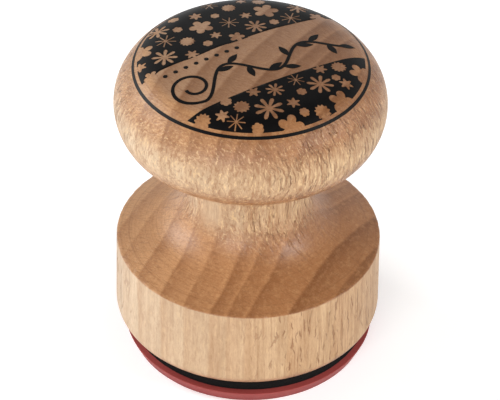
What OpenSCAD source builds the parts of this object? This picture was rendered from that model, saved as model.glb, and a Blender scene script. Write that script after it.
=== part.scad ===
// Round wooden craft stamp: one turned beech mount with a pinched neck, a printed index of the
// motif on its crown, and a rubber die on a foam cushion underneath.
// The origin is the middle of the printing face, +Z up. Sizes are in millimetres.

/* [Mount] */
// Height of the whole stamp, standing on its die
stamp_h = 42.4; // [42:0.2:46]
// Diameter of the knob at its widest
knob_d = 33; // [32:0.5:36]
// Radius of the shallow crown on top of the knob
crown_r = 90; // [70:5:150]
// Radius of the knob's rolled edge
knob_edge_r = 6.5; // [6:0.1:6.8]
// Tighter radius where the knob turns under
knob_under_r = 4; // [3.5:0.1:4.5]
// Diameter of the neck at its narrowest
neck_d = 14.8; // [13:0.2:15.4]
// Radius of the coves that run from the neck into the knob and into the drum
cove_r = 6.5; // [5.5:0.1:6.6]
// Diameter of the drum at its top rim
rim_d = 33; // [32.4:0.1:33.4]
// Height of the drum's rim above the printing face
rim_z = 15; // [14:0.1:15.2]
// Fall of the drum's top from the neck to the rim, in degrees
drum_top_fall = 18.5; // [14:0.5:19]
// Diameter of the drum near its base
drum_d = 33.5; // [33.4:0.1:34]
// Radius of the drum's rounded lower edge
drum_foot_r = 1.75; // [1:0.05:2]
// Radius that sanding leaves on the rim
rim_break_r = 0.2; // [0.1:0.05:0.4]

/* [Cushion and die] */
// Thickness of each double-sided adhesive film
film_t = 0.1; // [0.05:0.05:0.2]
// Thickness of the foam cushion
foam_t = 1.7; // [1.5:0.1:2.2]
// Diameter of the foam cushion
foam_d = 30.4; // [30:0.1:30.8]
// Diameter of the adhesive films, which stop a little short of the foam's edge
film_d = 30; // [29.5:0.1:30]
// Thickness of the rubber die, relief included
die_t = 1.8; // [1.6:0.1:2.4]
// Diameter of the die where it meets the cushion
die_back_d = 31.6; // [31:0.1:32]
// Diameter of the die at its printing face
die_face_d = 30.1; // [30:0.1:30.8]
// Depth of the relief
relief_t = 0.8; // [0.5:0.1:1.2]

/* [Motif] */
// Turn of the motif about the axis, in degrees
motif_turn = 32; // [0:1:90]
// Radius of the motif's border ring, out to its outer edge
motif_r = 14.25; // [14:0.05:14.4]
// Width of the border ring's line
ring_w = 0.3; // [0.25:0.05:0.5]
// Bare gap between the border ring and the flower fields
ring_gap = 0.35; // [0.3:0.05:0.6]
// Lower edge of the upper flower field
upper_field_y = 2.9; // [2.5:0.1:3.2]
// Upper edge of the lower flower field
lower_field_y = -5.9; // [-6.2:0.1:-5.5]
// Width of the sprig's stem
stem_w = 0.4; // [0.3:0.02:0.5]
// Thickness of the printed ink
ink_t = 0.03; // [0.02:0.01:0.05]

/* [Hidden] */
$fn = 96;

knob_r = knob_d / 2;
neck_r = neck_d / 2;
rim_r = rim_d / 2;
drum_r = drum_d / 2;
foam_z = die_t + film_t;
wood_z = foam_z + foam_t + film_t;
print_r = die_face_d / 2;
die_scale = print_r / motif_r;
field_r = motif_r - ring_w - ring_gap;

// Centres of the mount's arcs, as [radius, height]. Neighbouring arcs are tangent, and every
// angle is that of the outward normal, measured from +Z.
crown_c = [0, stamp_h - crown_r];
crown_a = asin((knob_r - knob_edge_r) / (crown_r - knob_edge_r));
edge_c = [knob_r - knob_edge_r, crown_c[1] + (crown_r - knob_edge_r) * cos(crown_a)];
turn_under_a = 120;
under_c = edge_c + (knob_edge_r - knob_under_r) * [sin(turn_under_a), cos(turn_under_a)];
cove_x = neck_r + cove_r;
upper_cove_a = 180 - asin((cove_x - under_c[0]) / (knob_under_r + cove_r));
upper_cove_c = [cove_x, under_c[1] + (knob_under_r + cove_r) * cos(upper_cove_a)];
lower_cove_c = [
    cove_x,
    rim_z + (cove_r - (cove_x - rim_r) * sin(drum_top_fall)) / cos(drum_top_fall)
];
drum_side_a = 90 - atan2(drum_r - rim_r, rim_z - wood_z);

// Petal outlines: one petal's points as [share of the pitch from its middle, share of the radius]
DAISY = [
    [-0.5, 0.26], [-0.32, 0.5], [-0.26, 0.75], [-0.16, 0.93], [0, 1], [0.16, 0.93], [0.26, 0.75],
    [0.32, 0.5]
];
SPARK = [[-0.5, 0.16], [-0.09, 1], [0.09, 1]];
BLOSSOM = [
    [-0.5, 0.54], [-0.36, 0.78], [-0.22, 0.93], [-0.08, 1], [0.08, 1], [0.22, 0.93], [0.36, 0.78]
];
STAR = [[-0.5, 0.52], [-0.1, 0.96], [0.1, 0.96]];
BURST = [[-0.5, 0.8], [-0.12, 1], [0.12, 1]];
BUD = [[-0.5, 0.8], [-0.22, 0.98], [0.22, 0.98]];

// Flowers left open in the fields: [petal outline, petals, x, y, radius, turn]
UPPER_FLOWERS = [
    [DAISY, 8, -9, 5, 1.6, 10], [DAISY, 8, 3.4, 4.6, 1.4, 0], [DAISY, 8, -6.8, 10.6, 1.5, 20],
    [DAISY, 8, 10.4, 6.2, 1.4, 15], [SPARK, 8, -7.2, 7.9, 1.3, 5], [SPARK, 8, 1.1, 7, 1.2, 12],
    [SPARK, 8, 8.2, 4.3, 1.3, 0], [SPARK, 8, 1.4, 12.2, 1.2, 38], [BLOSSOM, 5, -2.2, 8, 1.5, 20],
    [BLOSSOM, 5, 6.4, 7.2, 1.6, 50], [BLOSSOM, 5, -10.4, 8.2, 1.5, 0], [BLOSSOM, 5, 0.2, 3.7, 1, 54],
    [BLOSSOM, 5, -12, 3, 0.9, 30], [BLOSSOM, 5, 11.4, 3.4, 1, 40], [BURST, 12, -5.2, 6.2, 0.95, 0],
    [BURST, 12, 2.9, 10.1, 0.9, 0], [BURST, 12, 7, 9.8, 0.9, 10], [STAR, 6, -1.7, 5.4, 0.8, 15],
    [STAR, 6, -6.1, 3.5, 0.9, 30], [STAR, 6, -1.5, 10.6, 0.9, 10], [STAR, 6, 3.7, 7.4, 0.8, 20],
    [STAR, 6, -12, 5.7, 0.9, 5], [STAR, 6, 5.2, 11, 0.8, 0], [BUD, 6, -3.4, 4.4, 0.65, 0],
    [BUD, 6, -4.8, 9.2, 0.65, 20], [BUD, 6, 0.5, 9.3, 0.6, 0], [BUD, 6, 5.9, 4.4, 0.65, 10],
    [BUD, 6, -3.9, 11.8, 0.75, 0]
];
LOWER_FLOWERS = [
    [DAISY, 8, -3.6, -9.8, 1.8, 0], [DAISY, 8, 4, -8.9, 1.65, 12], [DAISY, 8, -1.3, -7.4, 1.15, 8],
    [SPARK, 8, -7.9, -9.6, 1.1, 6], [SPARK, 8, 1.8, -7, 1.05, 0], [BLOSSOM, 5, 5, -12.2, 1.6, 70],
    [BLOSSOM, 5, 10, -8.6, 1.5, 25], [BLOSSOM, 5, -2.6, -13.2, 1.6, 60], [BURST, 12, -6.2, -8, 1, 0],
    [BURST, 12, -11, -7.2, 1, 10], [BURST, 12, 1.9, -12.8, 1, 5], [BURST, 12, 7.8, -7, 0.95, 0],
    [STAR, 6, -8.8, -8, 0.9, 10], [STAR, 6, -0.6, -10.3, 0.9, 0], [STAR, 6, 7, -9.9, 0.9, 20],
    [STAR, 6, 5.5, -6.5, 0.9, 30], [STAR, 6, -3.7, -6.5, 0.9, 30], [BUD, 6, -6.2, -11.6, 0.75, 10],
    [BUD, 6, -0.2, -12.1, 0.65, 0], [BUD, 6, 1.3, -9.1, 0.65, 15], [BUD, 6, 6.4, -8.6, 0.6, 0],
    [BUD, 6, -7.3, -6.3, 0.75, 0]
];

// The sprig's stem: a curl at the left runs into a fading wave
curl_c = [-9.2, -2];
curl_r = [0.9, 2.9];
curl_turns = 1.25;
wave_end_x = 10.6;
wave_pitch = 10.4;
wave_amp = [2.4, 1.3];
LEAF_X = [for (i = [0 : 8]) -5.4 + 1.8 * i];
leaf_size = [2.2, 0.85];
leaf_lean = 48;
seed_y = 1.7;
SEED_X = [for (i = [0 : 7]) -10.8 + 1.4 * i];
seed_r = 0.28;

// Points on an arc in [radius, height], by the outward normal's angle; a negative r is a cove
function arc(c, r, a0, a1, steps) = [
    for (i = [0 : steps]) let (a = a0 + (a1 - a0) * i / steps) c + r * [sin(a), cos(a)]
];

// Arc of radius r that rounds a corner between faces whose normals are at a0 and a1
function round_corner(corner, r, a0, a1, steps) =
    let (n0 = [sin(a0), cos(a0)], n1 = [sin(a1), cos(a1)])
    arc(corner - r * (n0 + n1) / (1 + n0 * n1), r, a0, a1, steps);

// The knob's top surface, from the axis out and round its rolled edge
crown_edge_step = (turn_under_a - crown_a) / 22;
CROWN = concat(
    arc(crown_c, crown_r, 0, crown_a, 6),
    arc(edge_c, knob_edge_r, crown_a + crown_edge_step, turn_under_a, 21)
);

// One flower's outline: the petal's points repeated round the middle
function flower(petal, petals, r) = [
    for (k = [0 : petals - 1]) for (p = petal)
        let (a = (k + p[0]) * 360 / petals) r * p[1] * [cos(a), sin(a)]
];

function wave_share(x) = (x - curl_c[0]) / (wave_end_x - curl_c[0]);
function wave_y(x) =
    let (amp = wave_amp[0] + (wave_amp[1] - wave_amp[0]) * wave_share(x))
    curl_c[1] - curl_r[1] + wave_amp[0] - amp * cos((x - curl_c[0]) * 360 / wave_pitch);
function wave_slope(x) = atan2(wave_y(x + 0.1) - wave_y(x - 0.1), 0.2);

function stem_path() = concat(
    [for (i = [0 : 39]) let (t = i / 40, a = -90 - 360 * curl_turns * (1 - t))
        curl_c + (curl_r[0] + (curl_r[1] - curl_r[0]) * t) * [cos(a), sin(a)]],
    [for (i = [0 : 60]) let (x = curl_c[0] + (wave_end_x - curl_c[0]) * i / 60) [x, wave_y(x)]]
);

// One side of a line drawn along a path, w away from it
function side_of(path, w) = [
    for (i = [0 : len(path) - 1])
        let (
            d = path[min(i + 1, len(path) - 1)] - path[max(i - 1, 0)],
            n = [-d[1], d[0]] / norm(d)
        )
        path[i] + w * n
];

module stroke(path, w) {
    left = side_of(path, w / 2);
    right = side_of(path, -w / 2);
    polygon(concat(left, [for (i = [len(right) - 1 : -1 : 0]) right[i]]));
}

module leaf(size) {
    polygon(concat(
        [for (i = [0 : 6]) [size[0] * i / 6, size[1] / 2 * sin(30 * i)]],
        [for (i = [5 : -1 : 1]) [size[0] * i / 6, -size[1] / 2 * sin(30 * i)]]
    ));
}

module flowers(list) {
    for (f = list) {
        translate([f[2], f[3]])
            rotate(f[5])
                polygon(flower(f[0], f[1], f[4]));
    }
}

// A flower field: what a straight edge cuts off the motif's disc, with its flowers left open
module field(y0, y1, list) {
    difference() {
        intersection() {
            circle(field_r);
            translate([-motif_r, y0])
                square([2 * motif_r, y1 - y0]);
        }
        flowers(list);
    }
}

module upper_field() {
    field(upper_field_y, motif_r, UPPER_FLOWERS);
}

module lower_field() {
    field(-motif_r, lower_field_y, LOWER_FLOWERS);
}

module sprig() {
    stroke(stem_path(), stem_w);
    for (i = [0 : len(LEAF_X) - 1]) {
        side = i % 2 == 0 ? -1 : 1;
        translate([LEAF_X[i], wave_y(LEAF_X[i])])
            rotate(wave_slope(LEAF_X[i]) + side * leaf_lean)
                leaf(leaf_size);
    }
    translate([wave_end_x - leaf_size[0] / 4, wave_y(wave_end_x - leaf_size[0] / 4)])
        rotate(wave_slope(wave_end_x))
            leaf(leaf_size);
    for (x = SEED_X)
        translate([x, seed_y])
            circle(seed_r);
}

// A layer of ink that lies on the crown and keeps to the outline given as its child
module on_crown() {
    skin = [for (p = CROWN) if (p[1] > edge_c[1] + 0.4 * knob_edge_r) p];
    top = [for (i = [len(skin) - 1 : -1 : 0]) skin[i] + [0, ink_t]];
    intersection() {
        rotate_extrude()
            polygon(concat(skin, top));
        translate([0, 0, edge_c[1]])
            linear_extrude(stamp_h)
                rotate(motif_turn)
                    children();
    }
}

module wood_mount() {
    color("burlywood")
        rotate_extrude()
            polygon(concat(
                CROWN,
                arc(under_c, knob_under_r, turn_under_a + 6, upper_cove_a, 8),
                arc(upper_cove_c, -cove_r, upper_cove_a - 6, 90, 14),
                arc(lower_cove_c, -cove_r, 90, drum_top_fall, 14),
                round_corner([rim_r, rim_z], rim_break_r, drum_top_fall, drum_side_a, 4),
                round_corner([drum_r, wood_z], drum_foot_r, drum_side_a, 180, 10),
                [[0, wood_z]]
            ));
}

module print_ring() {
    color("black")
        on_crown()
            difference() {
                circle(motif_r);
                circle(motif_r - ring_w);
            }
}

module print_field_upper() {
    color("black")
        on_crown()
            upper_field();
}

module print_field_lower() {
    color("black")
        on_crown()
            lower_field();
}

module print_sprig() {
    color("black")
        on_crown()
            sprig();
}

module film_upper() {
    color("#3a3230")
        translate([0, 0, foam_z + foam_t])
            cylinder(h = film_t, d = film_d);
}

module foam_cushion() {
    color("#1c191b")
        translate([0, 0, foam_z])
            cylinder(h = foam_t, d = foam_d);
}

module film_lower() {
    color("#3a3230")
        translate([0, 0, die_t])
            cylinder(h = film_t, d = film_d);
}

// The die's edge tapers all the way from its back to its printing face
module rubber_die() {
    base_r = print_r + (die_back_d / 2 - print_r) * relief_t / die_t;
    color("#914341")
        union() {
            translate([0, 0, relief_t])
                cylinder(h = die_t - relief_t, r1 = base_r, r2 = die_back_d / 2);
            difference() {
                cylinder(h = relief_t, r1 = print_r, r2 = base_r);
                translate([0, 0, -relief_t])
                    cylinder(h = 3 * relief_t, r = print_r - ring_w * die_scale);
            }
            linear_extrude(relief_t)
                scale(die_scale)
                    rotate(motif_turn) {
                        upper_field();
                        lower_field();
                        sprig();
                    }
        }
}

wood_mount();
print_ring();
print_field_upper();
print_field_lower();
print_sprig();
film_upper();
foam_cushion();
film_lower();
rubber_die();
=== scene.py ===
"""Looks for a round wooden craft stamp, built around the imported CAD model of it.

A turned beech mount has the motif printed on its crown. Underneath, a foam cushion and a rubber
die are held by adhesive films. Lengths are in millimetres until a mesh is made. The origin is the
middle of the printing face and +Z is up, as in the CAD model.
"""

from math import asin, atan2, cos, degrees, pi, radians, sin

import bpy
import numpy as np
from mathutils import Matrix, Vector, noise
from mathutils.geometry import delaunay_2d_cdt


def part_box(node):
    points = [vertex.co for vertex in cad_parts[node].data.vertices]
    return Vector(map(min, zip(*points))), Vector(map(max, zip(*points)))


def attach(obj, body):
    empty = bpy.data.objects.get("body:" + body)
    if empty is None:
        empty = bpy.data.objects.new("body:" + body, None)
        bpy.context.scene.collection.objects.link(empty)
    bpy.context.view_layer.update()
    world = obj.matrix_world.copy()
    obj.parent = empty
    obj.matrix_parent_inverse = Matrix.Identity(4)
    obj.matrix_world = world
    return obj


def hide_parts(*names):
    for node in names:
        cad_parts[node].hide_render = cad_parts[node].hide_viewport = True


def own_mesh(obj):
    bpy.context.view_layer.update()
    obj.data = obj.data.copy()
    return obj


MM = 0.001

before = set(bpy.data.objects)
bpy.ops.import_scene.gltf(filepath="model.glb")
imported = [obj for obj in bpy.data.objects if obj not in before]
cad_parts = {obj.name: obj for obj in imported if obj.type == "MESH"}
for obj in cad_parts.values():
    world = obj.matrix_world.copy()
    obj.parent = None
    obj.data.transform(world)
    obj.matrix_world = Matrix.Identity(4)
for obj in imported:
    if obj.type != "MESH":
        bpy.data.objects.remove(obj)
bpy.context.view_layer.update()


# ---- Sizes -----------------------------------------------------------------------------------

def node_box(node):
    """A CAD node's lowest and highest corner, in millimetres."""
    return [np.array(corner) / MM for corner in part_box(node)]


WOOD_LOW, WOOD_HIGH = node_box("wood_mount")
FOAM_LOW, FOAM_HIGH = node_box("foam_cushion")
FILM_LOW, FILM_HIGH = node_box("film_lower")
DIE_HIGH = node_box("rubber_die")[1]

# The mount's profile: the arcs' radii, and angles in degrees
STAMP_H = WOOD_HIGH[2]
WOOD_Z = WOOD_LOW[2]
KNOB_R = 16.5
CROWN_R = 90
KNOB_EDGE_R = 6.5
KNOB_UNDER_R = 4
TURN_UNDER_A = 120
NECK_R = 7.4
COVE_R = 6.5
RIM_R = 16.5
RIM_Z = 15
DRUM_TOP_FALL = 18.5
DRUM_R = 16.75
DRUM_FOOT_R = 1.75
RIM_BREAK_R = 0.2

# The ink and the layers under the wood
FOAM_R = FOAM_HIGH[0]
FILM_R = FILM_HIGH[0]
FILM_T = FILM_HIGH[2] - FILM_LOW[2]
DIE_T = DIE_HIGH[2]
DIE_BACK_R = DIE_HIGH[0]
DIE_FACE_R = 15.05
RELIEF_T = 0.8
DIE_EDGE_BREAK = 0.08
DIE_EDGE_WANDER = 0.03
INK_T = 0.03
INK_SUNK = 0.02

# The cushion and die are stuck on by hand, a little to one side
STACK_SHIFT = np.array((0.19, 0, 0))

# The rings of the tree are upright sheets. RING_TURN is the direction they run in, from +X
# towards +Y. RING_LINES are where each one ends, across them from the axis, and RING_DEPTHS how
# dark that line is; after it the tone fades back over RING_FADE_W. RING_CURVE bends the sheets,
# RING_WANDER makes them waver, and the tones reach RING_SPAN to each side of the axis.
RING_TURN = 60
RING_CURVE = -0.003
RING_LINES = [-14.2, -11.1, -7.5, -3.6, -0.1, 3.2, 5.4, 7.5, 11.9, 15.4]
RING_DEPTHS = [0.75, 0.55, 0.9, 1, 0.8, 1, 0.85, 0.9, 1, 0.8]
RING_LINE_W = 0.35
RING_FADE_W = 1.6
RING_WANDER = 0.9
RING_SPAN = 19
ACROSS = Vector((sin(radians(RING_TURN)), -cos(radians(RING_TURN)), 0))

# Wear and torn grain: the part round the axis that stays as it is, the reach from the drum's rim,
# and the heights between which the torn neck sets in and ends
NEAR_AXIS_R = 1
RIM_WEAR_REACH = 0.6
NECK_TORN_FROM = (17.5, 20)
NECK_TORN_TO = (27, 30)

# How finely the meshes are cut: segments round the axis, and the triangles' sides
MOUNT_SEGMENTS = 480
FOAM_SEGMENTS = 360
FILM_SEGMENTS = 240
CIRCLE_STEPS = 360
FIELD_RIM_STEPS = 200
INK_SPACING = 0.36
DIE_SPACING = 0.6
SHARP_ANGLE = 35

# A disc's inner ring of points, and where its cut edge begins
FOAM_INNER_R = 7
FILM_INNER_R = 8
DISC_EDGE_R = 14


# ---- Motif -----------------------------------------------------------------------------------

MOTIF_TURN = 32
MOTIF_R = 14.25
RING_W = 0.3
RING_GAP = 0.35
FIELD_R = MOTIF_R - RING_W - RING_GAP
UPPER_FIELD_Y = 2.9
LOWER_FIELD_Y = -5.9
STEM_W = 0.4

# One petal's outline as (share of the pitch from its middle, share of the radius)
DAISY = [(-0.5, 0.26), (-0.32, 0.5), (-0.26, 0.75), (-0.16, 0.93), (0, 1), (0.16, 0.93),
         (0.26, 0.75), (0.32, 0.5)]
SPARK = [(-0.5, 0.16), (-0.09, 1), (0.09, 1)]
BLOSSOM = [(-0.5, 0.54), (-0.36, 0.78), (-0.22, 0.93), (-0.08, 1), (0.08, 1), (0.22, 0.93),
           (0.36, 0.78)]
STAR = [(-0.5, 0.52), (-0.1, 0.96), (0.1, 0.96)]
BURST = [(-0.5, 0.8), (-0.12, 1), (0.12, 1)]
BUD = [(-0.5, 0.8), (-0.22, 0.98), (0.22, 0.98)]

# Flowers left open in the fields: (petal outline, petals, x, y, radius, turn)
UPPER_FLOWERS = [
    (DAISY, 8, -9, 5, 1.6, 10), (DAISY, 8, 3.4, 4.6, 1.4, 0), (DAISY, 8, -6.8, 10.6, 1.5, 20),
    (DAISY, 8, 10.4, 6.2, 1.4, 15), (SPARK, 8, -7.2, 7.9, 1.3, 5), (SPARK, 8, 1.1, 7, 1.2, 12),
    (SPARK, 8, 8.2, 4.3, 1.3, 0), (SPARK, 8, 1.4, 12.2, 1.2, 38), (BLOSSOM, 5, -2.2, 8, 1.5, 20),
    (BLOSSOM, 5, 6.4, 7.2, 1.6, 50), (BLOSSOM, 5, -10.4, 8.2, 1.5, 0),
    (BLOSSOM, 5, 0.2, 3.7, 1, 54), (BLOSSOM, 5, -12, 3, 0.9, 30), (BLOSSOM, 5, 11.4, 3.4, 1, 40),
    (BURST, 12, -5.2, 6.2, 0.95, 0), (BURST, 12, 2.9, 10.1, 0.9, 0), (BURST, 12, 7, 9.8, 0.9, 10),
    (STAR, 6, -1.7, 5.4, 0.8, 15), (STAR, 6, -6.1, 3.5, 0.9, 30), (STAR, 6, -1.5, 10.6, 0.9, 10),
    (STAR, 6, 3.7, 7.4, 0.8, 20), (STAR, 6, -12, 5.7, 0.9, 5), (STAR, 6, 5.2, 11, 0.8, 0),
    (BUD, 6, -3.4, 4.4, 0.65, 0), (BUD, 6, -4.8, 9.2, 0.65, 20), (BUD, 6, 0.5, 9.3, 0.6, 0),
    (BUD, 6, 5.9, 4.4, 0.65, 10), (BUD, 6, -3.9, 11.8, 0.75, 0),
]
LOWER_FLOWERS = [
    (DAISY, 8, -3.6, -9.8, 1.8, 0), (DAISY, 8, 4, -8.9, 1.65, 12),
    (DAISY, 8, -1.3, -7.4, 1.15, 8), (SPARK, 8, -7.9, -9.6, 1.1, 6),
    (SPARK, 8, 1.8, -7, 1.05, 0), (BLOSSOM, 5, 5, -12.2, 1.6, 70),
    (BLOSSOM, 5, 10, -8.6, 1.5, 25), (BLOSSOM, 5, -2.6, -13.2, 1.6, 60),
    (BURST, 12, -6.2, -8, 1, 0), (BURST, 12, -11, -7.2, 1, 10), (BURST, 12, 1.9, -12.8, 1, 5),
    (BURST, 12, 7.8, -7, 0.95, 0), (STAR, 6, -8.8, -8, 0.9, 10), (STAR, 6, -0.6, -10.3, 0.9, 0),
    (STAR, 6, 7, -9.9, 0.9, 20), (STAR, 6, 5.5, -6.5, 0.9, 30), (STAR, 6, -3.7, -6.5, 0.9, 30),
    (BUD, 6, -6.2, -11.6, 0.75, 10), (BUD, 6, -0.2, -12.1, 0.65, 0), (BUD, 6, 1.3, -9.1, 0.65, 15),
    (BUD, 6, 6.4, -8.6, 0.6, 0), (BUD, 6, -7.3, -6.3, 0.75, 0),
]

# The sprig's stem: a curl at the left runs into a fading wave
CURL_C = (-9.2, -2)
CURL_R = (0.9, 2.9)
CURL_TURNS = 1.25
CURL_STEPS = 40
WAVE_END_X = 10.6
WAVE_PITCH = 10.4
WAVE_AMP = (2.4, 1.3)
WAVE_STEPS = 60
LEAF_X = [-5.4 + 1.8 * i for i in range(9)]
LEAF_SIZE = (2.2, 0.85)
LEAF_LEAN = 48
SEED_Y = 1.7
SEED_X = [-10.8 + 1.4 * i for i in range(8)]
SEED_R = 0.28
SEED_STEPS = 20


def turned(points, angle):
    """Points turned about the origin by an angle in degrees."""
    a = radians(angle)
    return np.asarray(points, float) @ np.array([[cos(a), sin(a)], [-sin(a), cos(a)]])


def circle(radius, steps=CIRCLE_STEPS, centre=(0, 0)):
    a = np.linspace(0, 2 * pi, steps, endpoint=False)
    return np.array(centre) + radius * np.stack([np.cos(a), np.sin(a)], 1)


def flower(petal, petals, x, y, radius, turn):
    """One flower's outline: the petal's points repeated round the middle."""
    share = np.array([(k + along, out) for k in range(petals) for along, out in petal])
    a = share[:, 0] * 2 * pi / petals + radians(turn)
    reach = radius * share[:, 1]
    return np.array((x, y)) + np.stack([reach * np.cos(a), reach * np.sin(a)], 1)


def wave_y(x):
    """The stem's height at x, in the wave."""
    share = (x - CURL_C[0]) / (WAVE_END_X - CURL_C[0])
    amp = WAVE_AMP[0] + (WAVE_AMP[1] - WAVE_AMP[0]) * share
    swing = cos((x - CURL_C[0]) * 2 * pi / WAVE_PITCH)
    return CURL_C[1] - CURL_R[1] + WAVE_AMP[0] - amp * swing


def wave_slope(x):
    """The stem's slope at x, in degrees."""
    return degrees(atan2(wave_y(x + 0.1) - wave_y(x - 0.1), 0.2))


def stem_outline():
    curl = []
    for i in range(CURL_STEPS):
        t = i / CURL_STEPS
        a = radians(-90 - 360 * CURL_TURNS * (1 - t))
        r = CURL_R[0] + (CURL_R[1] - CURL_R[0]) * t
        curl.append((CURL_C[0] + r * cos(a), CURL_C[1] + r * sin(a)))
    run = WAVE_END_X - CURL_C[0]
    wave_x = [CURL_C[0] + run * i / WAVE_STEPS for i in range(WAVE_STEPS + 1)]
    path = np.array(curl + [(x, wave_y(x)) for x in wave_x])
    step = np.gradient(path, axis=0)
    normal = np.stack([-step[:, 1], step[:, 0]], 1) / np.linalg.norm(step, axis=1)[:, None]
    return np.concatenate([path + normal * STEM_W / 2, (path - normal * STEM_W / 2)[::-1]])


def leaf(x, y, lean):
    share = np.linspace(0, 1, 9)
    side = LEAF_SIZE[1] / 2 * np.sin(pi * share)
    length = LEAF_SIZE[0] * share
    outline = np.concatenate([np.stack([length, side], 1),
                              np.stack([length, -side], 1)[-2:0:-1]])
    return turned(outline, lean) + np.array((x, y))


def sprig_outlines():
    outlines = [stem_outline()]
    for i, x in enumerate(LEAF_X):
        side = -1 if i % 2 == 0 else 1
        outlines.append(leaf(x, wave_y(x), wave_slope(x) + side * LEAF_LEAN))
    tip_x = WAVE_END_X - LEAF_SIZE[0] / 4
    outlines.append(leaf(tip_x, wave_y(tip_x), wave_slope(WAVE_END_X)))
    outlines += [circle(SEED_R, SEED_STEPS, (x, SEED_Y)) for x in SEED_X]
    return outlines


def inside(outline, points):
    """Which points lie inside a closed outline."""
    x, y = points[:, 0], points[:, 1]
    found = np.zeros(len(points), bool)
    for (x0, y0), (x1, y1) in zip(outline, np.roll(outline, -1, axis=0)):
        if y0 != y1:
            crosses = (y0 > y) != (y1 > y)
            found ^= crosses & (x < (x1 - x0) * (y - y0) / (y1 - y0) + x0)
    return found


def inside_any(outlines, points):
    found = np.zeros(len(points), bool)
    for outline in outlines:
        found |= inside(outline, points)
    return found


class Art:
    """An area of the motif: the outlines that its edge follows, and which points are in it."""

    def __init__(self, outlines, holds):
        self.outlines = outlines
        self.holds = holds


def field(y, side, flower_list):
    """A flower field: what a straight edge at y cuts off the disc, on that side of the edge."""
    flowers = [flower(*f) for f in flower_list]
    half = (FIELD_R ** 2 - y ** 2) ** 0.5
    start, end = atan2(y, half), atan2(y, -half)
    if side < 0:
        start, end = end, start
    a = np.linspace(start, end, FIELD_RIM_STEPS)
    rim = FIELD_R * np.stack([np.cos(a), np.sin(a)], 1)
    return Art([rim] + flowers, lambda p: inside(rim, p) & ~inside_any(flowers, p))


def ring_art():
    edges = [circle(MOTIF_R), circle(MOTIF_R - RING_W)]
    return Art(edges, lambda p: inside(edges[0], p) & ~inside(edges[1], p))


def sprig_art():
    outlines = sprig_outlines()
    return Art(outlines, lambda p: inside_any(outlines, p))


RING = ring_art()
UPPER_FIELD = field(UPPER_FIELD_Y, 1, UPPER_FLOWERS)
LOWER_FIELD = field(LOWER_FIELD_Y, -1, LOWER_FLOWERS)
SPRIG = sprig_art()


# ---- Meshes ----------------------------------------------------------------------------------

def make_object(name, points, faces):
    """A mesh object from points in millimetres, smooth but for its sharp edges."""
    mesh = bpy.data.meshes.new(name)
    mesh.from_pydata((np.asarray(points) * MM).tolist(), [], faces)
    mesh.shade_smooth()
    mesh.validate()
    mesh.update()
    mesh.set_sharp_from_angle(angle=radians(SHARP_ANGLE))
    obj = bpy.data.objects.new(name, mesh)
    bpy.context.scene.collection.objects.link(obj)
    return obj


def arc(centre, radius, start, end, steps):
    """Points on an arc as (radius, height), by the outward normal's angle from +Z in degrees.
    A negative radius is a cove."""
    a = np.radians(np.linspace(start, end, steps + 1))
    return np.array(centre) + radius * np.stack([np.sin(a), np.cos(a)], 1)


def round_corner(corner, radius, start, end, steps):
    """An arc that rounds a corner between faces whose normals are at start and end."""
    n0, n1 = (np.array((sin(radians(a)), cos(radians(a)))) for a in (start, end))
    return arc(np.array(corner) - radius * (n0 + n1) / (1 + n0 @ n1), radius, start, end, steps)


def straight(start, end, steps):
    """Points on a line from start to end, without either of its ends."""
    share = np.linspace(0, 1, steps + 1)[1:-1, None]
    return np.array(start) * (1 - share) + np.array(end) * share


def closed_lathe(profile, segments):
    """Points and faces of a solid of revolution. The profile runs from the axis at the top, out
    and down, to the axis at the bottom; its two ends are on the axis."""
    profile = np.asarray(profile, float)
    a = np.linspace(0, 2 * pi, segments, endpoint=False)
    rings = profile[1:-1]
    points = np.stack([
        rings[:, :1] * np.cos(a), rings[:, :1] * np.sin(a),
        np.repeat(rings[:, 1:], segments, axis=1)
    ], 2).reshape(-1, 3)
    top, bottom = len(points), len(points) + 1
    points = np.concatenate([points, [(0, 0, profile[0, 1]), (0, 0, profile[-1, 1])]])
    faces = []
    for ring in range(len(rings) - 1):
        for i in range(segments):
            j = (i + 1) % segments
            k = ring * segments
            faces.append((k + i, k + segments + i, k + segments + j, k + j))
    last = (len(rings) - 1) * segments
    for i in range(segments):
        j = (i + 1) % segments
        faces.append((top, i, j))
        faces.append((bottom, last + j, last + i))
    return points, faces


def fractal(point, scale, seed, octaves=3):
    """Smooth noise from about -1 to 1. scale is a vector of detail per millimetre."""
    total, gain, reach = 0, 1, 0
    p = Vector((point[0] * scale[0], point[1] * scale[1], point[2] * scale[2]))
    for octave in range(octaves):
        total += gain * noise.noise(p * 2 ** octave + Vector((seed, 3 * seed, 7 * seed)))
        reach += gain
        gain /= 2
    return total / reach


def ease(x, low, high):
    """0 below low, 1 above high, and smooth in between."""
    t = np.clip((x - low) / (high - low), 0, 1)
    return t * t * (3 - 2 * t)


# Centres of the mount's arcs, and the angles in degrees where they meet
crown_c = np.array((0, STAMP_H - CROWN_R))
crown_a = degrees(asin((KNOB_R - KNOB_EDGE_R) / (CROWN_R - KNOB_EDGE_R)))
edge_c = np.array((KNOB_R - KNOB_EDGE_R,
                   crown_c[1] + (CROWN_R - KNOB_EDGE_R) * cos(radians(crown_a))))
under_shift = np.array((sin(radians(TURN_UNDER_A)), cos(radians(TURN_UNDER_A))))
under_c = edge_c + (KNOB_EDGE_R - KNOB_UNDER_R) * under_shift
cove_x = NECK_R + COVE_R
upper_cove_a = 180 - degrees(asin((cove_x - under_c[0]) / (KNOB_UNDER_R + COVE_R)))
upper_cove_c = (cove_x, under_c[1] + (KNOB_UNDER_R + COVE_R) * cos(radians(upper_cove_a)))
fall = radians(DRUM_TOP_FALL)
lower_cove_c = (cove_x, RIM_Z + (COVE_R - (cove_x - RIM_R) * sin(fall)) / cos(fall))
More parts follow.
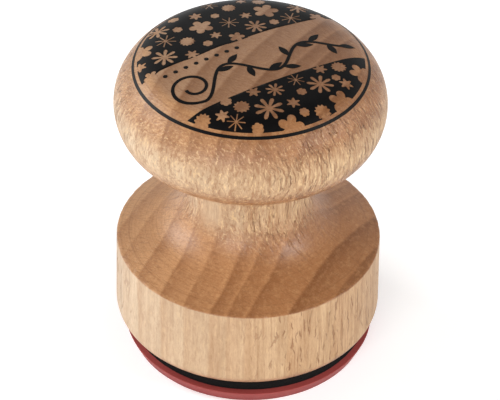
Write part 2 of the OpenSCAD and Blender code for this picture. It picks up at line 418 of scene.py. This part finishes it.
drum_side_a = 90 - degrees(atan2(DRUM_R - RIM_R, RIM_Z - WOOD_Z))


def crown_height(r):
    """Height of the knob's top surface at a distance from the axis."""
    on_crown = crown_c[1] + np.sqrt(CROWN_R ** 2 - r ** 2)
    out = np.clip(r - edge_c[0], 0, KNOB_EDGE_R)
    on_edge = edge_c[1] + np.sqrt(KNOB_EDGE_R ** 2 - out ** 2)
    return np.where(r < CROWN_R * sin(radians(crown_a)), on_crown, on_edge)


def mount_profile():
    """The mount's outline, from the crown's middle down to the underside's middle."""
    cove_end = arc(lower_cove_c, -COVE_R, DRUM_TOP_FALL, DRUM_TOP_FALL, 0)[0]
    rim = round_corner((RIM_R, RIM_Z), RIM_BREAK_R, DRUM_TOP_FALL, drum_side_a, 5)
    foot = round_corner((DRUM_R, WOOD_Z), DRUM_FOOT_R, drum_side_a, 180, 14)
    parts = [
        arc(crown_c, CROWN_R, 0, crown_a, 16)[:-1],
        arc(edge_c, KNOB_EDGE_R, crown_a, TURN_UNDER_A, 42)[:-1],
        arc(under_c, KNOB_UNDER_R, TURN_UNDER_A, upper_cove_a, 16)[:-1],
        arc(upper_cove_c, -COVE_R, upper_cove_a, 90, 26)[:-1],
        arc(lower_cove_c, -COVE_R, 90, DRUM_TOP_FALL, 30),
        straight(cove_end, rim[0], 14),
        rim,
        straight(rim[-1], foot[0], 26),
        foot,
        [(10, WOOD_Z), (5, WOOD_Z), (0, WOOD_Z)],
    ]
    return np.concatenate(parts)


def roughen_mount(points):
    """Moves the mount's surface as turning and handling leave it: a slightly nicked rim, and
    fibres torn out of the neck, most where the rings face outwards."""
    moved = points.copy()
    for i, (x, y, z) in enumerate(points):
        r = (x * x + y * y) ** 0.5
        if r < NEAR_AXIS_R:
            continue
        out = np.array((x / r, y / r))
        tangential = abs(out[0] * ACROSS[0] + out[1] * ACROSS[1])
        from_rim = ((r - RIM_R) ** 2 + (z - RIM_Z) ** 2) ** 0.5
        near_rim = max(0, 1 - from_rim / RIM_WEAR_REACH)
        if near_rim > 0:
            wave = fractal((x, y, 0), (0.9, 0.9, 1), 11)
            nick = max(0, fractal((x, y, 0), (1.6, 1.6, 1), 5, 2) - 0.28)
            moved[i, :2] += out * near_rim * (0.05 * wave - 0.4 * nick)
            moved[i, 2] += near_rim * (0.08 * wave - 0.5 * nick)
        on_neck = ease(z, *NECK_TORN_FROM) * (1 - ease(z, *NECK_TORN_TO))
        if on_neck > 0:
            torn = abs(fractal((x, y, z), (1.5, 1.5, 0.3), 2, 3))
            moved[i, :2] -= out * on_neck * (0.03 + 0.1 * tangential) * (torn * 2.2)
    return moved


def make_mount():
    points, faces = closed_lathe(mount_profile(), MOUNT_SEGMENTS)
    return make_object("wood_mount_turned", roughen_mount(points), faces)


def triangulate(outlines, bound, spacing):
    """A triangle mesh of a disc whose edges follow the outlines. Returns points, triangles."""
    fixed, edges = [], []
    for outline in outlines:
        start = len(fixed)
        fixed += [tuple(p) for p in outline]
        edges += [(start + i, start + (i + 1) % len(outline)) for i in range(len(outline))]
    fixed = np.array(fixed)
    row = spacing * 3 ** 0.5 / 2
    half = int(bound / row) + 1
    grid = np.array([((i + 0.5 * (j % 2)) * spacing, j * row)
                     for j in range(-half, half + 1) for i in range(-half - 1, half + 2)])
    grid = grid[np.hypot(*grid.T) < bound]
    room = np.array([np.min(np.sum((fixed - p) ** 2, axis=1)) for p in grid])
    grid = grid[room > (0.45 * spacing) ** 2]
    vectors = [Vector(p) for p in np.concatenate([fixed, grid])]
    made = delaunay_2d_cdt(vectors, edges, [], 0, 1e-6, False)
    points = np.array([tuple(p) for p in made[0]])
    return points, np.array([tuple(t) for t in made[2]])


def open_edges(triangles):
    """The directed edges that only one triangle has."""
    directed = {(int(t[k]), int(t[(k + 1) % 3])) for t in triangles for k in range(3)}
    return sorted(e for e in directed if (e[1], e[0]) not in directed)


def counter_clockwise(points, triangles):
    a, b, c = (points[triangles[:, k]] for k in range(3))
    area = (b[:, 0] - a[:, 0]) * (c[:, 1] - a[:, 1]) - (b[:, 1] - a[:, 1]) * (c[:, 0] - a[:, 0])
    triangles = triangles[np.abs(area) > 1e-9]
    area = area[np.abs(area) > 1e-9]
    return np.where((area < 0)[:, None], triangles[:, ::-1], triangles)


def make_ink(name, art):
    """A layer of ink on the crown, with its underside a little in the wood."""
    points, triangles = triangulate(art.outlines, MOTIF_R, INK_SPACING)
    triangles = counter_clockwise(points, triangles)
    triangles = triangles[art.holds(points[triangles].mean(axis=1))]
    used, triangles = np.unique(triangles, return_inverse=True)
    triangles = triangles.reshape(-1, 3)
    points = turned(points[used], MOTIF_TURN)
    skin = crown_height(np.hypot(*points.T))
    count = len(points)
    both = np.concatenate([np.column_stack([points, skin + INK_T]),
                           np.column_stack([points, skin - INK_SUNK])])
    faces = triangles.tolist() + (triangles[:, ::-1] + count).tolist()
    faces += [(b, a, a + count, b + count) for a, b in open_edges(triangles)]
    return make_object(name, both, faces)


def make_die():
    """The die: the motif stands out of its underside, and its edge tapers up to its back."""
    scale = DIE_FACE_R / MOTIF_R
    arts = [UPPER_FIELD, LOWER_FIELD, SPRIG]
    rim_in = circle(MOTIF_R - RING_W)
    rim_out = circle((DIE_FACE_R - DIE_EDGE_BREAK) / scale)
    outlines = [rim_out, rim_in] + [o for art in arts for o in art.outlines]
    points, triangles = triangulate(outlines, MOTIF_R - 0.2, DIE_SPACING)
    triangles = counter_clockwise(points, triangles)
    triangles = triangles[inside(rim_out, points[triangles].mean(axis=1))]
    middle = points[triangles].mean(axis=1)
    raised = ~inside(rim_in, middle)
    for art in arts:
        raised |= art.holds(middle)
    points = turned(points * scale, MOTIF_TURN)
    count = len(points)
    low = np.column_stack([points, np.zeros(count)])
    high = np.column_stack([points, np.full(count, RELIEF_T)])
    faces = triangles[raised][:, ::-1].tolist() + (triangles[~raised][:, ::-1] + count).tolist()
    outer = open_edges(triangles)
    outer_set = set(outer)
    steps = [e for e in open_edges(triangles[raised]) if e not in outer_set]
    faces += [(a, b, b + count, a + count) for a, b in steps]
    # The side, ring by ring from the printing face up to the back
    following = dict(outer)
    loop = [outer[0][0]]
    while following[loop[-1]] != loop[0]:
        loop.append(following[loop[-1]])
    direction = points[loop] / np.hypot(*points[loop].T)[:, None]
    levels = [(DIE_FACE_R - 0.02, 0.03), (DIE_FACE_R + 0.03, DIE_EDGE_BREAK)]
    levels += straight(levels[-1], (DIE_BACK_R, DIE_T - 0.1), 6).tolist()
    levels += [(DIE_BACK_R - 0.01, DIE_T - 0.1), (DIE_BACK_R - 0.03, DIE_T - 0.03),
               (DIE_BACK_R - 0.1, DIE_T)]
    stack = [low, high]
    below, total = loop, 2 * count
    for r, z in levels:
        waves = [fractal((d[0] * r, d[1] * r, z), (0.25, 0.25, 1.2), 4) for d in direction]
        reach = [r + DIE_EDGE_WANDER * wave - DIE_EDGE_WANDER for wave in waves]
        stack.append(np.column_stack([direction * np.array(reach)[:, None],
                                      np.full(len(loop), z)]))
        above = list(range(total, total + len(loop)))
        for i in range(len(loop)):
            j = (i + 1) % len(loop)
            faces.append((below[i], below[j], above[j], above[i]))
        below, total = above, total + len(loop)
    stack.append(np.array([[0, 0, DIE_T]]))
    faces += [(below[i], below[(i + 1) % len(loop)], total) for i in range(len(loop))]
    return make_object("rubber_die_moulded", np.concatenate(stack) + STACK_SHIFT, faces)


def wander_edge(points, scale, seed, reach):
    """Moves a disc's cut edge in and out, as a blade leaves it."""
    for i, (x, y, z) in enumerate(points):
        r = (x * x + y * y) ** 0.5
        if r > DISC_EDGE_R:
            wave = fractal((x, y, z), scale, seed) - 1
            points[i, :2] *= 1 + reach * wave / r


def make_foam():
    """The cushion: a disc of foam whose cut edge is a little rounded and uneven."""
    low, high = FOAM_LOW[2], FOAM_HIGH[2]
    heights = np.linspace(high, low, 13)
    middle, half = (low + high) / 2, (high - low) / 2
    side = [(FOAM_R - 0.02 - 0.1 * abs((z - middle) / half) ** 3, z) for z in heights]
    profile = [(0, high), (FOAM_INNER_R, high)] + side + [(FOAM_INNER_R, low), (0, low)]
    points, faces = closed_lathe(profile, FOAM_SEGMENTS)
    wander_edge(points, (0.35, 0.35, 0.8), 8, 0.03)
    return make_object("foam_cushion_soft", points + STACK_SHIFT, faces)


def make_film(name, low):
    """An adhesive film: a thin disc whose cut edge wanders a little."""
    high = low + FILM_T
    side = [(FILM_R - 0.02, high), (FILM_R, high - 0.02), (FILM_R, low + 0.02),
            (FILM_R - 0.02, low)]
    profile = [(0, high), (FILM_INNER_R, high)] + side + [(FILM_INNER_R, low), (0, low)]
    points, faces = closed_lathe(profile, FILM_SEGMENTS)
    wander_edge(points, (0.3, 0.3, 0), 9, 0.04)
    return make_object(name, points + STACK_SHIFT, faces)


# ---- Materials -------------------------------------------------------------------------------

# Sockets of Blender's Mix node when it mixes colours
MIX_SHARE, MIX_A, MIX_B, MIX_RESULT = 0, 6, 7, 2

# Heights between which a zone of the mount sets in, or ends where the first is the higher one
KNOB_EDGE_ZONE = (27, 32)
# Where the painted reflection of the floor under the knob sets in
KNOB_UNDER_GLOW_ZONE = (27, 31)
NECK_ZONE = (18, 21)
NECK_ZONE_END = (30, 27)
CROWN_ZONE = (36, 39)


class Shader:
    """A node material. Each call adds a node and returns one of its outputs, and a value given
    to a socket is either a number, a colour, a vector or another node's output."""

    def __init__(self, name):
        self.material = bpy.data.materials.new(name)
        self.material.use_nodes = True
        self.tree = self.material.node_tree
        self.tree.nodes.clear()
        self.end = self.tree.nodes.new("ShaderNodeOutputMaterial")

    def add(self, kind, inputs=None, out=0, **settings):
        node = self.tree.nodes.new("ShaderNode" + kind)
        for key, value in settings.items():
            setattr(node, key, value)
        for key, value in (inputs or {}).items():
            self.put(node.inputs[key], value)
        return node.outputs[out]

    def put(self, socket, value):
        if isinstance(value, bpy.types.NodeSocket):
            self.tree.links.new(value, socket)
        else:
            socket.default_value = value

    def math(self, operation, a, b=0.0, c=0.0):
        return self.add("Math", {0: a, 1: b, 2: c}, operation=operation)

    def ease(self, value, low, high, start=0.0, end=1.0):
        inputs = {"Value": value, "From Min": low, "From Max": high, "To Min": start, "To Max": end}
        return self.add("MapRange", inputs, interpolation_type="SMOOTHSTEP")

    def mix(self, share, a, b):
        """Colour a where the share is 0, colour b where it is 1."""
        node = self.tree.nodes.new("ShaderNodeMix")
        node.data_type = "RGBA"
        for index, value in ((MIX_SHARE, share), (MIX_A, a), (MIX_B, b)):
            self.put(node.inputs[index], value)
        return node.outputs[MIX_RESULT]

    def split(self, vector):
        """A vector's three components."""
        node = self.tree.nodes.new("ShaderNodeSeparateXYZ")
        self.put(node.inputs[0], vector)
        return tuple(node.outputs)

    def stretch(self, vector, scale):
        return self.add("VectorMath", {0: vector, 1: scale}, operation="MULTIPLY")

    def noise(self, vector, scale, detail=2.0, roughness=0.5):
        """Noise from 0 to 1. scale is its detail per unit of the vector, in three directions."""
        inputs = {"Vector": self.stretch(vector, scale), "Scale": 1.0, "Detail": detail,
                  "Roughness": roughness}
        return self.add("TexNoise", inputs)

    def spots(self, vector, scale, size, softness):
        """1 in the middle of scattered cells, 0 outside them."""
        inputs = {"Vector": self.stretch(vector, scale), "Scale": 1.0}
        distance = self.add("TexVoronoi", inputs)
        return self.ease(distance, size, size - softness)

    def bump(self, height_mm):
        return self.add("Bump", {"Height": height_mm, "Distance": MM, "Strength": 1.0})

    def finish(self, **inputs):
        names = {key.replace("_", " "): value for key, value in inputs.items()}
        shader = self.add("BsdfPrincipled", names)
        self.tree.links.new(shader, self.end.inputs["Surface"])
        return self.material


def srgb(red, green, blue):
    """A colour picker's 0 to 255 values as a linear colour."""
    def linear(value):
        v = value / 255
        return v / 12.92 if v < 0.04045 else ((v + 0.055) / 1.055) ** 2.4
    return (linear(red), linear(green), linear(blue), 1)


def grain_space(s):
    """Millimetres across the rings, along the rings and along the fibres."""
    point = s.add("TexCoord", out="Object")
    inputs = {"Vector": point, "Rotation": (0, 0, radians(90 - RING_TURN)),
              "Scale": (1 / MM, 1 / MM, 1 / MM)}
    return s.add("Mapping", inputs)


def ring_tone(s, grain):
    """The tree's rings: dark just after each line, then lighter until the next."""
    across, along, _ = s.split(grain)
    bent = s.math("MULTIPLY_ADD", s.math("POWER", along, 2.0), RING_CURVE, across)
    wander = s.math("SUBTRACT", s.noise(grain, (0.3, 0.12, 0.1), 1.0), 0.5)
    place = s.math("MULTIPLY_ADD", wander, RING_WANDER, bent)
    share = s.add("MapRange", {"Value": place, "From Min": -RING_SPAN, "From Max": RING_SPAN})
    ramp = s.tree.nodes.new("ShaderNodeValToRGB")
    s.put(ramp.inputs[0], share)
    stops = ramp.color_ramp.elements
    for stop, position in zip(stops, (0, 1)):
        stop.position, stop.color = position, (0.7, 0.7, 0.7, 1)
    for line, depth in zip(RING_LINES, RING_DEPTHS):
        for place_mm, value in ((line - RING_LINE_W / 2, 1), (line + RING_LINE_W / 2, 1 - depth),
                                (line + RING_FADE_W, 1 - 0.45 * depth)):
            stop = stops.new((place_mm + RING_SPAN) / (2 * RING_SPAN))
            stop.color = (value, value, value, 1)
    return ramp.outputs[0]


def lathe_circles(s, grain, height_up, mottle):
    """Noise that runs round the axis, as the turning tool leaves it."""
    radius = s.add("VectorMath", {0: s.stretch(grain, (1, 1, 0))}, out="Value",
                   operation="LENGTH")
    lathe = s.add("CombineXYZ", {0: radius, 2: height_up}, out="Vector")
    bent = s.add("VectorMath", {0: mottle, 1: (0.25, 0, 0.25), 2: lathe},
                 operation="MULTIPLY_ADD")
    return s.noise(bent, (3.5, 1, 2.0), 2.0, 0.7)


def side_wood(s, grain, heart_and_shade, rings):
    """The colour of the faces that run along the fibres."""
    streaks = s.ease(s.noise(grain, (1.1, 1.6, 0.05), 3.0, 0.6), 0.3, 0.7)
    pale = s.mix(streaks, srgb(180, 158, 133), srgb(200, 178, 151))
    tan = s.mix(streaks, srgb(170, 137, 101), srgb(193, 161, 124))
    dark_share = s.math("MULTIPLY", s.math("SUBTRACT", 1.0, rings), 0.35)
    return s.mix(dark_share, s.mix(heart_and_shade, pale, tan), srgb(166, 120, 78))


def end_wood(s, swayed, heart_and_shade, rings, crown, mottle, circles):
    """The colour of the faces that cut across the fibres: the drum's top, the coves and the
    crown, with short ray lines across the rings, mottling and the tool's circles."""
    tool_brown = srgb(112, 70, 40)
    light = s.mix(heart_and_shade, srgb(190, 145, 102), srgb(160, 110, 70))
    dark = s.mix(heart_and_shade, srgb(154, 108, 70), srgb(122, 77, 45))
    # The crown gets a darker, greyer copy of these end-grain colours: painted shade for how the
    # light falls on the top, not a different wood.
    crown_shaded_pale = s.mix(heart_and_shade, srgb(170, 136, 107), srgb(146, 104, 75))
    crown_shaded_dark = s.mix(heart_and_shade, srgb(136, 98, 70), srgb(104, 66, 43))
    wood = s.mix(crown, s.mix(rings, dark, light), s.mix(rings, crown_shaded_dark, crown_shaded_pale))
    end_rays = s.noise(swayed, (0.7, 5.0, 2.0), 3.0, 0.6)
    ray_share = s.math("MULTIPLY", s.ease(end_rays, 0.5, 0.66), 0.34)
    mottle_depth = s.ease(crown, 0.0, 1.0, 0.24, 0.1)
    mottle_share = s.math("MULTIPLY", s.ease(mottle, 0.45, 0.68), mottle_depth)
    wood = s.mix(ray_share, wood, tool_brown)
    wood = s.mix(mottle_share, wood, srgb(206, 160, 112))
    return s.mix(s.ease(circles, 0.5, 0.64, 0.0, 0.26), wood, tool_brown)


def beech():
    s = Shader("beech_turned")
    grain = grain_space(s)
    across, _, height_up = s.split(grain)
    normal = s.add("TexCoord", out="Normal")
    tilt = s.math("ABSOLUTE", s.split(normal)[2])
    end = s.ease(tilt, 0.02, 0.6)
    facing = s.add("VectorMath", {0: normal, 1: ACROSS}, out="Value", operation="DOT_PRODUCT")
    flat_sawn = s.ease(s.math("ABSOLUTE", facing), 0.3, 0.85)
    # Darker across the rings towards the right: partly the darker heartwood, partly painted shade
    # on the side away from the main light.
    heart_and_shade = s.ease(across, -14, 15)
    rings = ring_tone(s, grain)

    # Rays are thin sheets that lie across the rings; on a side face they end as short flecks
    sway = s.add("TexNoise", {"Vector": s.stretch(grain, (0.6, 0.6, 0.6)), "Scale": 1.0,
                              "Detail": 2.0}, out="Color")
    swayed = s.add("VectorMath", {0: sway, 1: (0.8, 0.8, 0.8), 2: grain},
                   operation="MULTIPLY_ADD")
    rays = s.noise(swayed, (0.4, 3.4, 0.36), 2.0, 0.6)
    fine_rays = s.noise(swayed, (2.4, 5.5, 0.75), 3.0, 0.7)
    pores = s.noise(grain, (7, 7, 0.7), 2.0, 0.6)
    threads = s.noise(grain, (3.6, 3.6, 0.16), 2.0, 0.6)
    patches = s.noise(grain, (0.12, 0.16, 0.07), 2.0)
    fuzz = s.noise(grain, (5, 5, 4), 3.0, 0.7)

    # The cutter tears the fibres where it climbs across them: at the knob's edge and the neck
    knob_edge = s.math("MULTIPLY", s.ease(height_up, *KNOB_EDGE_ZONE), s.ease(tilt, 0.99, 0.6))
    neck = s.math("MULTIPLY", s.ease(height_up, *NECK_ZONE), s.ease(height_up, *NECK_ZONE_END))
    neck = s.math("MULTIPLY", neck, s.ease(s.noise(grain, (0.3, 0.3, 0.1), 1.0), 0.3, 0.5))
    torn_zone = s.math("MAXIMUM", knob_edge, neck)
    cracks = s.noise(swayed, (1.2, 2.6, 0.33), 3.0, 0.65)

    # The wood's own colour, from the side faces to the ones cut across
    mottle = s.noise(grain, (1.7, 1.2, 1.0), 4.0, 0.7)
    circles = lathe_circles(s, grain, height_up, mottle)
    crown = s.math("MULTIPLY", s.ease(height_up, *CROWN_ZONE), s.ease(tilt, 0.9, 0.97))
    base = s.mix(end, side_wood(s, grain, heart_and_shade, rings),
                 end_wood(s, swayed, heart_and_shade, rings, crown, mottle, circles))
    # Painted reflection: a pale cream tint on the knob's underside stands in for the white floor's
    # light on the lacquer.
    floor_glow_under_knob = s.math("MULTIPLY", s.ease(height_up, *KNOB_UNDER_GLOW_ZONE), s.ease(tilt, 0.55, 0.1))
    base = s.mix(s.math("MULTIPLY", floor_glow_under_knob, 0.14), base, srgb(226, 202, 164))
    base = s.mix(s.ease(patches, 0.35, 0.7, 0.0, 0.12), base, srgb(120, 76, 44))

    # The marks on it
    ray_share = s.math("MULTIPLY", s.ease(rays, 0.59, 0.67),
                       s.math("MULTIPLY_ADD", flat_sawn, 0.6, 0.08))
    thread_share = s.math("MULTIPLY", s.ease(threads, 0.5, 0.68),
                          s.math("MULTIPLY_ADD", flat_sawn, 0.3, 0.12))
    fine_strength = s.math("MULTIPLY_ADD", torn_zone, 0.34, 0.14)
    fine_share = s.math("MULTIPLY", s.ease(fine_rays, 0.51, 0.6), fine_strength)
    # Painted highlight: the raised fibres between the fine rays are painted a paler tan, as glints
    # on the torn grain, less on faces turned up.
    fibre_glint_share = s.math("MULTIPLY", s.ease(fine_rays, 0.45, 0.36), fine_strength)
    fibre_glint_share = s.math("MULTIPLY", fibre_glint_share, s.ease(tilt, 0.4, 0.85, 1.0, 0.35))
    crack_share = s.math("MULTIPLY", s.ease(cracks, 0.58, 0.66), torn_zone)
    crack_share = s.math("MULTIPLY", crack_share, s.math("MULTIPLY_ADD", flat_sawn, 0.9, 0.15))
    marks = [
        (ray_share, srgb(122, 78, 44)),
        (thread_share, srgb(126, 82, 46)),
        (fine_share, srgb(132, 82, 44)),
        (fibre_glint_share, srgb(224, 188, 140)),
        (s.math("MULTIPLY", crack_share, 0.5), srgb(108, 66, 34)),
        (s.ease(pores, 0.5, 0.72, 0.0, 0.25), srgb(116, 74, 42)),
        (s.ease(fuzz, 0.5, 0.8, 0.0, 0.15), srgb(214, 182, 146)),
    ]
    for share, colour in marks:
        base = s.mix(share, base, colour)

    # Each mark's relief, in millimetres
    height = s.math("MULTIPLY", ray_share, -0.1)
    reliefs = [(s.math("MULTIPLY", fine_rays, torn_zone), -0.08), (crack_share, -0.12),
               (s.math("MULTIPLY", circles, end), 0.02), (pores, -0.015), (fuzz, 0.012)]
    for mark, rise in reliefs:
        height = s.math("MULTIPLY_ADD", mark, rise, height)
    roughness = s.math("MULTIPLY_ADD", pores, 0.14, s.ease(end, 0.0, 1.0, 0.44, 0.3))
    return s.finish(Base_Color=base, Roughness=roughness, Specular_IOR_Level=0.38,
                    Normal=s.bump(height))


def ink():
    """Matt black screen ink, broken here and there over the pores."""
    s = Shader("ink_black")
    grain = grain_space(s)
    pores = s.noise(grain, (7, 7, 0.7), 2.0, 0.6)
    thin = s.noise(grain, (1.2, 1.2, 0.4), 2.0)
    broken = s.math("MULTIPLY", s.ease(pores, 0.68, 0.78), s.ease(thin, 0.45, 0.65))
    base = s.mix(thin, srgb(3, 2, 2), srgb(10, 8, 8))
    base = s.mix(s.math("MULTIPLY", broken, 0.5), base, srgb(120, 84, 58))
    roughness = s.math("MULTIPLY_ADD", pores, 0.14, 0.4)
    return s.finish(Base_Color=base, Roughness=roughness, Specular_IOR_Level=0.17,
                    Normal=s.bump(s.math("MULTIPLY", pores, 0.008)))


def millimetres(s):
    """The point being shaded, in millimetres."""
    return s.stretch(s.add("TexCoord", out="Object"), (1 / MM, 1 / MM, 1 / MM))


def foam():
    """Black foam with small open cells."""
    s = Shader("foam_black")
    point = millimetres(s)
    cells = s.spots(point, (4.5, 4.5, 4.5), 0.45, 0.3)
    fine = s.noise(point, (9, 9, 9), 3.0, 0.6)
    # Painted shade: the open cells are coloured darker than the foam round them, as shade in the
    # hollows.
    base = s.mix(cells, srgb(12, 11, 11), srgb(4, 4, 4))
    base = s.mix(s.ease(fine, 0.55, 0.75, 0.0, 0.5), base, srgb(24, 21, 21))
    height = s.math("MULTIPLY_ADD", cells, -0.06, s.math("MULTIPLY", fine, 0.03))
    return s.finish(Base_Color=base, Roughness=0.92, Specular_IOR_Level=0.15,
                    Normal=s.bump(height))


def rubber():
    """Dull red rubber, a little cloudy and dusty, with painted light that makes it paler towards
    its back.
    """
    s = Shader("die_rubber_red")
    point = millimetres(s)
    cloud = s.noise(point, (0.35, 0.35, 0.8), 3.0)
    fine = s.noise(point, (6, 6, 9), 3.0, 0.6)
    up = s.ease(s.split(point)[2], 0.1, DIE_T)
    base = s.mix(cloud, srgb(118, 38, 37), srgb(137, 50, 47))
    # Painted light: towards the back the red is mixed paler, lifting the shade that the foam and
    # drum cast on the die's upper part.
    base = s.mix(s.math("MULTIPLY", up, 0.3), base, srgb(160, 74, 68))
    base = s.mix(s.ease(fine, 0.5, 0.8, 0.0, 0.3), base, srgb(176, 98, 90))
    height = s.math("MULTIPLY_ADD", fine, 0.02, s.math("MULTIPLY", cloud, 0.05))
    return s.finish(Base_Color=base, Roughness=0.6, Specular_IOR_Level=0.3,
                    Normal=s.bump(height))


def film():
    """The dark cut edge of double-sided film."""
    s = Shader("adhesive_film_dark")
    point = millimetres(s)
    cloud = s.noise(point, (1.4, 1.4, 3), 3.0)
    base = s.mix(cloud, srgb(36, 30, 30), srgb(62, 48, 45))
    height = s.math("MULTIPLY", cloud, 0.02)
    return s.finish(Base_Color=base, Roughness=0.45, Normal=s.bump(height))


def floor_paper():
    """White paper. It glows a little, so that it stays white under soft light."""
    s = Shader("floor_paper")
    point = millimetres(s)
    cloud = s.noise(point, (0.01, 0.01, 0.01), 2.0)
    base = s.mix(cloud, (0.9, 0.9, 0.9, 1), (0.93, 0.93, 0.93, 1))
    return s.finish(Base_Color=base, Roughness=0.9, Specular_IOR_Level=0.1,
                    Emission_Color=(1, 1, 1, 1), Emission_Strength=0.3)


# ---- The object ------------------------------------------------------------------------------

def dress(obj, material, body, slot, *nodes):
    """Gives a new piece its material and its body, and hides the CAD nodes that it stands for."""
    obj.data.materials.append(material)
    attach(obj, body)
    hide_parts(*nodes)
    return obj


black_ink = ink()
dark_film = film()
dress(make_mount(), beech(), "mount", "beech", "wood_mount")
for node, art in (("print_ring", RING), ("print_field_upper", UPPER_FIELD),
                  ("print_field_lower", LOWER_FIELD), ("print_sprig", SPRIG)):
    dress(make_ink(node + "_ink", art), black_ink, "mount", "ink", node)
dress(make_film("film_upper_cut", node_box("film_upper")[0][2]), dark_film, "mount",
      "adhesive_film", "film_upper")
dress(make_film("film_lower_cut", FILM_LOW[2]), dark_film, "die", "adhesive_film", "film_lower")
dress(make_die(), rubber(), "die", "die_rubber", "rubber_die")
cushion = dress(make_foam(), foam(), "mount", "foam", "foam_cushion")
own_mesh(cushion)


# ---- Studio ----------------------------------------------------------------------------------

FLOOR_HALF = 1500
FLOOR_STEPS = 6

# Softboxes: name, azimuth, elevation, distance, (width, height) and power in watts
LIGHTS = [
    ("box_left", -105, 27, 600, (420, 260), 2.55),
    ("box_right", 70, 32, 600, (260, 200), 2.0),
    ("front", -20, 20, 700, (420, 200), 2.8),
]
LIGHT_AIM = (0, 0, 25)

# The room's brightness by the direction's upward component, and straight overhead
ROOM_TONES = ((0, 1), (0.3, 1), (0.5, 0.6), (0.7, 0.15))
ROOM_TOP = 0.1
ROOM_STRENGTH = 0.8

CAMERA_DISTANCE = 305.01
CAMERA_ELEVATION = 38.8
CAMERA_AIM_Z = 19.87
CAMERA_ROLL = 1.01
CAMERA_LENS = 176.75
CAMERA_SENSOR_W = 36
CAMERA_SHIFT = (0.0023, 0.001)
CAMERA_CLIP_M = (0.01, 10)


def make_floor():
    """A wide sheet of paper under the stamp."""
    xs = np.linspace(-FLOOR_HALF, FLOOR_HALF, FLOOR_STEPS + 1)
    points = [(x, y, 0) for y in xs for x in xs]
    row = FLOOR_STEPS + 1
    corners = [j * row + i for j in range(FLOOR_STEPS) for i in range(FLOOR_STEPS)]
    faces = [(k, k + 1, k + row + 1, k + row) for k in corners]
    floor = make_object("floor", points, faces)
    floor.data.materials.append(floor_paper())


def area_light(name, azimuth, elevation, distance, size, power):
    """A softbox. Azimuth 0 is the camera's side and 90 its right."""
    a, e = radians(azimuth), radians(elevation)
    away = Vector((sin(a) * cos(e), -cos(a) * cos(e), sin(e)))
    light = bpy.data.lights.new(name, "AREA")
    light.shape = "RECTANGLE"
    light.size, light.size_y = size[0] * MM, size[1] * MM
    light.energy = power
    obj = bpy.data.objects.new(name, light)
    obj.location = (Vector(LIGHT_AIM) + away * distance) * MM
    obj.rotation_euler = away.to_track_quat("Z", "Y").to_euler()
    bpy.context.scene.collection.objects.link(obj)


def make_world():
    """A white room: bright up to a little above the horizon, dimmer overhead."""
    world = bpy.data.worlds.new("studio")
    world.use_nodes = True
    tree = world.node_tree
    tree.nodes.clear()
    place = tree.nodes.new("ShaderNodeTexCoord")
    parts = tree.nodes.new("ShaderNodeSeparateXYZ")
    ramp = tree.nodes.new("ShaderNodeValToRGB")
    back = tree.nodes.new("ShaderNodeBackground")
    end = tree.nodes.new("ShaderNodeOutputWorld")
    tree.links.new(place.outputs["Generated"], parts.inputs[0])
    tree.links.new(parts.outputs[2], ramp.inputs[0])
    tree.links.new(ramp.outputs[0], back.inputs["Color"])
    tree.links.new(back.outputs[0], end.inputs["Surface"])
    for height, brightness in ROOM_TONES:
        stop = ramp.color_ramp.elements.new(height)
        stop.color = (brightness, brightness, brightness, 1)
    ramp.color_ramp.elements.remove(ramp.color_ramp.elements[0])
    ramp.color_ramp.elements[-1].color = (ROOM_TOP, ROOM_TOP, ROOM_TOP, 1)
    back.inputs["Strength"].default_value = ROOM_STRENGTH
    bpy.context.scene.world = world


def make_camera():
    """A long lens that looks down at the axis from the front, with a slight roll."""
    camera = bpy.data.cameras.new("camera")
    camera.lens = CAMERA_LENS
    camera.sensor_width = CAMERA_SENSOR_W
    camera.shift_x, camera.shift_y = CAMERA_SHIFT
    camera.clip_start, camera.clip_end = CAMERA_CLIP_M
    obj = bpy.data.objects.new("camera", camera)
    e = radians(CAMERA_ELEVATION)
    back = Vector((0, -cos(e), sin(e)))
    up = Vector((0, sin(e), cos(e)))
    right = Vector((1, 0, 0))
    roll = radians(CAMERA_ROLL)
    x = right * cos(roll) + up * sin(roll)
    y = up * cos(roll) - right * sin(roll)
    place = (Vector((0, 0, CAMERA_AIM_Z)) + back * CAMERA_DISTANCE) * MM
    turn = Matrix((x, y, back)).transposed().to_4x4()
    obj.matrix_world = Matrix.Translation(place) @ turn
    bpy.context.scene.collection.objects.link(obj)
    bpy.context.scene.camera = obj


make_floor()
make_world()
for softbox in LIGHTS:
    area_light(*softbox)
make_camera()
bpy.context.scene.view_settings.view_transform = "Standard"
